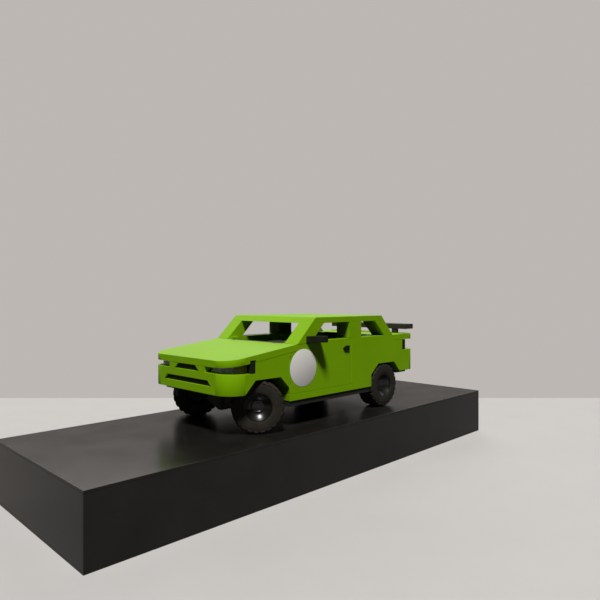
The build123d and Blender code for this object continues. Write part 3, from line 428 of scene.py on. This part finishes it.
def lens_material():
    """Clear lamp glass."""
    made, shader = material("clear_lens")
    place = node(made, "ShaderNodeTexCoord")
    film = node(made, "ShaderNodeTexNoise", Scale=LENS_FILM_SCALE, Detail=GRAIN_DETAIL)
    link(made, place, "Object", film, "Vector")
    link(made, ranged(made, film, "Fac", LENS_ROUGHNESS), "Result", shader, "Roughness")
    shader.inputs["Transmission Weight"].default_value = LENS_CLEARNESS
    shader.inputs["Base Color"].default_value = (*LENS_COLOUR, 1)
    return made


# Each speckled finish has its two tones, its noise's scale and its range of roughness, and the cloth its two
# tones and its threads' scale.
PAINT = speckled("green_paint", (0.225, 0.465, 0.001), (0.243, 0.495, 0.0016), 1.5, (0.42, 0.50),
                 bump=0.02, shine=0.12)
# The rear pillars' paint: painted shade, a darker grey-green on their inner faces inside the cabin.
SHADED_INSIDE_PAINT = shaded_inwards("painted_shade_paint", PAINT, (0.13, 0.145, 0.065), (0.90, 0.96))
TRIM = speckled("black_trim", (0.012, 0.014, 0.007), (0.017, 0.020, 0.010), 8, (0.5, 0.65),
                bump=0.1, shine=0.1)
GREY_TRIM = speckled("grey_trim", (0.036, 0.034, 0.027), (0.048, 0.045, 0.036), 8, (0.5, 0.65),
                     bump=0.1, shine=0.1)
PLINTH = speckled("plinth_lacquer", (0.010, 0.0088, 0.0075), (0.016, 0.014, 0.012), 2, (0.18, 0.26),
                  shine=0.45)
RUBBER = speckled("tyre_rubber", (0.024, 0.021, 0.016), (0.036, 0.031, 0.024), 10, (0.6, 0.75),
                  bump=0.25, shine=0.15)
RIM = speckled("rim_black", (0.006, 0.006, 0.0045), (0.009, 0.009, 0.007), 6, (0.28, 0.32), shine=0.7)
CHASSIS = speckled("chassis_black", (0.020, 0.020, 0.016), (0.034, 0.032, 0.026), 5, (0.5, 0.7),
                   bump=0.1, shine=0.2)
STEEL = speckled("axle_steel", (0.030, 0.030, 0.026), (0.050, 0.048, 0.042), 12, (0.45, 0.6),
                 metallic=0.3, shine=0.2)
CLOTH = woven("seat_cloth", (0.020, 0.021, 0.022), (0.040, 0.041, 0.043), 160.0)
AMBER = speckled("amber_lens", (0.15, 0.12, 0.008), (0.21, 0.17, 0.012), 25, (0.2, 0.35), shine=0.3)
RED = speckled("red_lens", (0.16, 0.004, 0.004), (0.22, 0.007, 0.007), 10, (0.15, 0.25))
IRON = speckled("engine_iron", (0.04, 0.04, 0.04), (0.07, 0.07, 0.065), 10, (0.5, 0.7),
                metallic=0.5, bump=0.2)
VINYL = speckled("pale_vinyl", (0.92, 0.875, 0.82), (0.96, 0.915, 0.86), 4, (0.45, 0.55), bump=0.02)
CLEAR = lens_material()
SLOT_FINISH = {
    "body_paint": PAINT, "black_trim": TRIM, "plinth_black": PLINTH, "tyre_rubber": RUBBER,
    "rim_black": RIM, "lamp_clear": CLEAR, "lamp_amber": AMBER, "lamp_red": RED, "chassis": CHASSIS,
    "steel": STEEL, "seat_cloth": CLOTH, "engine_iron": IRON,
}
# The rear pillars take the paint with painted shade on their inner faces.
NODE_FINISH = {"rear_wing": GREY_TRIM, "dashboard": GREY_TRIM, "rear_pillars": SHADED_INSIDE_PAINT}


def finish_nodes():
    """Give each node its own finish, or else the finish of its slot."""
    for part in frame["record"]["subparts"]:
        name = part["node"]
        finish = NODE_FINISH.get(name, SLOT_FINISH[part["material_slot"]])
        for place in frame["nodes"][name].material_slots:
            place.material = finish


def soften(name):
    """Round a node's edges a little."""
    made = frame["nodes"][name]
    weld = made.modifiers.new("weld", "WELD")
    weld.merge_threshold = MERGE_DISTANCE
    flat = made.modifiers.new("flat", "DECIMATE")
    flat.decimate_type = "DISSOLVE"
    flat.angle_limit = math.radians(FLAT_ANGLE)
    edge = made.modifiers.new("edge", "BEVEL")
    edge.width = NODE_EDGE
    edge.segments = NODE_EDGE_STEPS
    edge.limit_method = "ANGLE"
    edge.angle_limit = math.radians(SHARP_ANGLE)


def tyre():
    """One tyre about the origin: carcass, shoulder lugs on both sides and two rows of blocks between them."""
    whole = TYRE_SECTION + [(-along, out) for along, out in TYRE_SECTION[-2::-1]]
    pieces = [turned("tyre", whole)]
    pitch = 360.0 / LUGS
    for section, turn, start in ((LUG_SECTION, LUG_TURN, 0.0), (BLOCK_SECTION, BLOCK_TURN, pitch / 3)):
        first = turned("lug", section, turn, LUG_STEPS)
        bevelled(first, LUG_EDGE, 1)
        for side, offset in ((0, 0.0), (1, pitch / 2)):
            flip = Matrix.Rotation(math.pi * side, 4, "Z")
            for count in range(LUGS):
                angle = math.radians(start + offset + count * pitch)
                pieces.append(copied(first, "lug", Matrix.Rotation(angle, 4, "X") @ flip))
        bpy.data.objects.remove(first)
    made = joined(pieces, "tyre")
    smooth(made, WHEEL_SMOOTH_ANGLE)
    return made


def rim():
    """One rim about the origin, with its six-sided cap, sunk inside its border."""
    made = turned("rim", RIM_SECTION)
    clear()
    low, high = HUB_CAP_X
    bpy.ops.mesh.primitive_cylinder_add(vertices=HUB_CAP_SIDES, radius=HUB_CAP_RADIUS, depth=high - low,
                                        location=((low + high) / 2, 0, 0),
                                        rotation=(0, math.pi / 2, 0))
    cap = bpy.context.object
    settle(cap)
    edit(cap, "DESELECT")
    leave()
    for face in cap.data.polygons:
        face.select = face.normal.x > HUB_CAP_FACING
    pick([cap])
    bpy.ops.object.mode_set(mode="EDIT")
    bpy.ops.mesh.select_mode(type="FACE")
    bpy.ops.mesh.inset(thickness=HUB_CAP_BORDER, depth=0.0)
    bpy.ops.mesh.inset(thickness=HUB_CAP_SLOPE, depth=-HUB_CAP_SINK)
    bpy.ops.mesh.select_mode(type="VERT")
    leave()
    bevelled(cap, HUB_CAP_EDGE, 1)
    made = joined([made, cap], "rim")
    smooth(made, WHEEL_SMOOTH_ANGLE)
    return made


def wheels():
    """Four tyres and rims at the frame's wheels, the front pair turned as they stand."""
    first_tyre, first_rim = tyre(), rim()
    for place, turn in (("front_left", STEER_REST), ("front_right", STEER_REST + 180),
                        ("rear_left", 0.0), ("rear_right", 180.0)):
        low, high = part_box("rim_" + place)
        move = Matrix.Translation((low + high) / 2) @ Matrix.Rotation(math.radians(turn), 4, "Z")
        for first, kind, finish, slot in ((first_tyre, "tyre_", RUBBER, "tyre_rubber"),
                                          (first_rim, "rim_", RIM, "rim_black")):
            made = copied(first, kind + place + "_shaped", move)
            finish_piece(made, finish, "wheel_" + place)
            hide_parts(kind + place)
    bpy.data.objects.remove(first_tyre)
    bpy.data.objects.remove(first_rim)


def door_discs():
    """A pale round disc on each door."""
    for side, body in ((1, "door_left"), (-1, "door_right")):
        low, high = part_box(body)
        face = high.x if side > 0 else low.x
        clear()
        bpy.ops.mesh.primitive_cylinder_add(vertices=DISC_SIDES, radius=DISC_RADIUS, depth=DISC_THICK,
                                            location=(face + side * DISC_THICK / 2, *DISC_PLACE),
                                            rotation=(0, math.pi / 2, 0))
        disc = bpy.context.object
        disc.name = body + "_disc"
        settle(disc)
        bevelled(disc, DISC_EDGE, 2)
        smooth(disc)
        finish_piece(disc, VINYL, body)


def stuffed(piece, cap):
    """Swell a closed form like a filled cushion, no point moving farther than the cap."""
    pick([piece])
    grid = piece.modifiers.new("grid", "REMESH")
    grid.mode = "VOXEL"
    grid.voxel_size = CUSHION_GRID
    bpy.ops.object.modifier_apply(modifier="grid")
    was = [point.co.copy() for point in piece.data.vertices]
    cloth = piece.modifiers.new("stuffing", "CLOTH")
    cloth.settings.use_pressure = True
    cloth.settings.uniform_pressure_force = STUFFING_PRESSURE
    cloth.settings.effector_weights.gravity = 0.0
    cloth.settings.quality = STUFFING_QUALITY
    cloth.point_cache.frame_start = 1
    cloth.point_cache.frame_end = STUFFING_FRAMES
    for step in range(1, STUFFING_FRAMES + 1):
        bpy.context.scene.frame_set(step)
    swollen = piece.evaluated_get(bpy.context.evaluated_depsgraph_get()).to_mesh()
    now = [point.co.copy() for point in swollen.vertices]
    piece.modifiers.remove(cloth)
    bpy.context.scene.frame_set(1)
    for point, before, after in zip(piece.data.vertices, was, now):
        shift = after - before
        if shift.length > cap:
            shift *= cap / shift.length
        point.co = before + shift


def channelled(piece, start, way, out, spacing, count):
    """Sew channels across a cushion: points near each seam sink against the outward direction."""
    way, out, start = Vector(way).normalized(), Vector(out).normalized(), Vector(start)
    for point, facing in [(v, v.normal.copy()) for v in piece.data.vertices]:
        if facing.dot(out) < CHANNEL_FACING:
            continue
        along = (point.co - start).dot(way)
        nearest = min(max(round(along / spacing), 0), count - 1) * spacing
        reach = abs(along - nearest) / CHANNEL_WIDTH
        if reach < 1:
            point.co -= out * CHANNEL_DEPTH * (1 - reach) ** 2 * (1 + reach)


def block(name, low, high, turn=0.0):
    """A block between two corners, then turned about the X axis through its middle."""
    low, high = Vector(low), Vector(high)
    clear()
    bpy.ops.mesh.primitive_cube_add(size=1, location=(low + high) / 2, scale=high - low,
                                    rotation=(turn, 0, 0))
    made = bpy.context.object
    made.name = name
    settle(made)
    return made


def seat():
    """The driver's seat: a shell with a seat cushion and a back cushion."""
    low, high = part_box("driver_seat")
    shell_back = [(SHELL_REAR_Y - SHELL_FOOT_THICK, CUSHION_LOW_Z), (SHELL_REAR_Y, low.z),
                  (SHELL_REAR_Y + SHELL_BEND[0], CUSHION_LOW_Z + SHELL_BEND[1]),
                  (high.y, high.z), (high.y - SHELL_TOP_THICK, high.z)]
    pan = block("seat_pan", low, (high.x, SHELL_REAR_Y, CUSHION_LOW_Z))
    rear = drawn_outline("seat_rear", [(low.x, y, z) for y, z in shell_back])
    edit(rear, "SELECT")
    bpy.ops.mesh.extrude_region_move(TRANSFORM_OT_translate={"value": (high.x - low.x, 0, 0)})
    bpy.ops.mesh.select_all(action="SELECT")
    bpy.ops.mesh.normals_make_consistent(inside=False)
    leave()
    for hard in (pan, rear):
        bevelled(hard, SHELL_EDGE, 3)
        smooth(hard)
    shell = joined([rear, pan], "seat_shell")
    finish_piece(shell, TRIM, "car_body")
    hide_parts("driver_seat")

    bottom = block("seat_cushion",
                   (low.x + CUSHION_SIDE_GAP, low.y + CUSHION_FRONT_GAP, CUSHION_LOW_Z),
                   (high.x - CUSHION_SIDE_GAP, CUSHION_REAR_Y, CUSHION_TOP_Z - CUSHION_SWELL))
    foot, top = Vector((0, *BACK_FOOT)), Vector((0, *BACK_TOP))
    slope = (top - foot).normalized()
    front = Vector((0, -slope.z, slope.y))
    middle = (foot + top - front * BACK_THICK) / 2 + Vector(((low.x + high.x) / 2, 0, 0))
    half = Vector(((high.x - low.x) / 2 - CUSHION_SIDE_GAP, BACK_THICK / 2, (top - foot).length / 2))
    back = block("seat_back_cushion", middle - half, middle + half, -math.atan2(slope.y, slope.z))
    for soft in (bottom, back):
        bevelled(soft, CUSHION_EDGE, 3)
        stuffed(soft, CUSHION_SWELL)
    channelled(bottom, (0, low.y + SEAT_CHANNEL_START, 0), (0, 1, 0), (0, 0, 1), SEAT_CHANNEL_SPACING,
               SEAT_CHANNELS)
    channelled(back, foot + slope * BACK_CHANNEL_START, slope, front, BACK_CHANNEL_SPACING, BACK_CHANNELS)
    for soft, fill in ((bottom, CUSHION_FILL), (back, CUSHION_FILL)):
        smooth(soft, CUSHION_SMOOTH_ANGLE)
        finish_piece(soft, CLOTH, "car_body")
        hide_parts("driver_seat")


def ahead():
    """The level direction in which the camera looks."""
    turn = math.radians(CAMERA_TURN[2])
    return Vector((-math.sin(turn), math.cos(turn), 0))


def camera():
    """The camera at the photograph's place."""
    lens = bpy.data.cameras.new("camera")
    lens.lens = FOCAL_LENGTH
    lens.sensor_width = SENSOR_WIDTH
    lens.shift_y = HORIZON_SHIFT
    lens.clip_end = CAMERA_REACH
    made = bpy.data.objects.new("camera", lens)
    made.location = CAMERA_PLACE
    made.rotation_euler = [math.radians(turn) for turn in CAMERA_TURN]
    bpy.context.collection.objects.link(made)
    bpy.context.scene.camera = made


def lamps():
    """The room's lamps, as suns, so that they light all of the floor alike."""
    for name, lamp in LAMPS.items():
        light = bpy.data.lights.new(name, "SUN")
        light.energy = lamp["power"]
        light.angle = math.radians(lamp["spread"])
        made = bpy.data.objects.new(name, light)
        made.rotation_euler = Vector(lamp["way"]).to_track_quat("Z", "Y").to_euler()
        made.visible_glossy = lamp["mirrored"]
        bpy.context.collection.objects.link(made)


def floor():
    """A pale floor that ends at the wall's foot, square to the camera."""
    middle = Vector((CAMERA_PLACE[0], CAMERA_PLACE[1], 0)) + ahead() * (WALL_DISTANCE - FLOOR_SIZE / 2)
    clear()
    bpy.ops.mesh.primitive_plane_add(size=FLOOR_SIZE, location=middle,
                                     rotation=(0, 0, math.radians(CAMERA_TURN[2])))
    ground = bpy.context.object
    ground.name = "floor"
    settle(ground)
    pale = tuple(value * FLOOR_DRIFT for value in FLOOR_COLOUR)
    made = speckled("pale_floor", pale, FLOOR_COLOUR, 0.6, (0.7, 0.8), bump=0.1, shine=0.1)
    ground.data.materials.append(made)
    dim_bounce(made)


def dim_bounce(made):
    """Make a floor that shows pale throw little light back up, and show dark in glossy surfaces."""
    shader = made.node_tree.nodes["Principled BSDF"]
    colour = shader.inputs["Base Color"].links[0].from_socket
    rays = node(made, "ShaderNodeLightPath")
    for ray, other in (("Is Diffuse Ray", FLOOR_BOUNCE), ("Is Glossy Ray", FLOOR_MIRRORED)):
        colour = mixed(made, rays.outputs[ray], colour, other)
    made.node_tree.links.new(colour, shader.inputs["Base Color"])


def world():
    """A plain pale room: the wall for the camera, a graded level for mirrors and a dim light for the rest."""
    made = bpy.data.worlds.new("studio")
    bpy.context.scene.world = made
    made.use_nodes = True
    wall = made.node_tree.nodes["Background"]
    wall.inputs["Color"].default_value = (*WALL_COLOUR, 1)
    wall.inputs["Strength"].default_value = 1.0
    place = node(made, "ShaderNodeTexCoord")
    side = node(made, "ShaderNodeVectorMath", operation="DOT_PRODUCT")
    side.inputs[1].default_value = ahead()
    link(made, place, "Generated", side, 0)
    height = node(made, "ShaderNodeSeparateXYZ")
    link(made, place, "Generated", height, "Vector")
    level = node(made, "ShaderNodeMath", operation="MULTIPLY")
    link(made, ranged(made, side, "Value", AHEAD_LEVEL, AHEAD_RANGE), "Result", level, 0)
    link(made, ranged(made, height, "Z", HEIGHT_LEVEL, HEIGHT_RANGE), "Result", level, 1)
    mirrored = node(made, "ShaderNodeBackground", Color=(*WALL_COLOUR, 1))
    link(made, level, "Value", mirrored, "Strength")
    dim = node(made, "ShaderNodeBackground", Color=(*ROOM_LIGHT_COLOUR, 1), Strength=ROOM_LIGHT)
    rays = node(made, "ShaderNodeLightPath")
    shiny = node(made, "ShaderNodeMath", operation="MAXIMUM")
    link(made, rays, "Is Glossy Ray", shiny, 0)
    link(made, rays, "Is Transmission Ray", shiny, 1)
    unseen = chosen(made, shiny, "Value", dim, mirrored)
    shown = chosen(made, rays, "Is Camera Ray", unseen, wall)
    link(made, shown, "Shader", made.node_tree.nodes["World Output"], "Surface")


finish_nodes()
for softened in SOFTENED:
    soften(softened)
wheels()
door_discs()
seat()
camera()
lamps()
floor()
world()
bpy.context.scene.view_settings.view_transform = "Standard"
